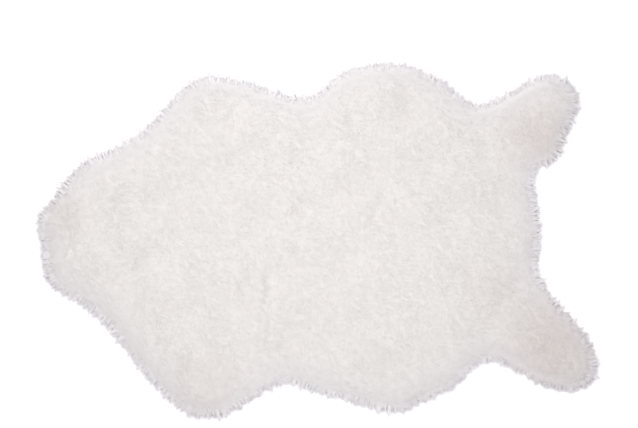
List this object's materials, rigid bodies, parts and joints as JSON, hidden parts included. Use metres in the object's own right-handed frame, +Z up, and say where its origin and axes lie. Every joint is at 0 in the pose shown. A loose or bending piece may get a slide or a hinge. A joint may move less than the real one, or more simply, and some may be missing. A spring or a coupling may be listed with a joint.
{
  "type": "hide rug",
  "caption": "One-piece ivory hide rug with a plush fleece, cut to a pelt outline with a blunt neck, rounded shoulder and side lobes and hind-leg flaps, lying flat with the fleece up.",
  "frame": {"origin": "On the floor under the rug, at the middle of its bounding box, with the sole of the hide at z = 0.", "axes": "+X runs along the rug from the neck end to the hind legs, +Y points to the side of the upper hind leg and the larger middle lobe, and +Z points up out of the fleece."},
  "size_m": [0.9607, 0.6128, 0.0379],
  "materials": {
    "fleece": "soft matte plush fleece, ivory white with a faint warm tint on the legs and neck"
  },
  "bodies": {
    "root": {"pelt": "fleece"}
  },
  "joints": []
}
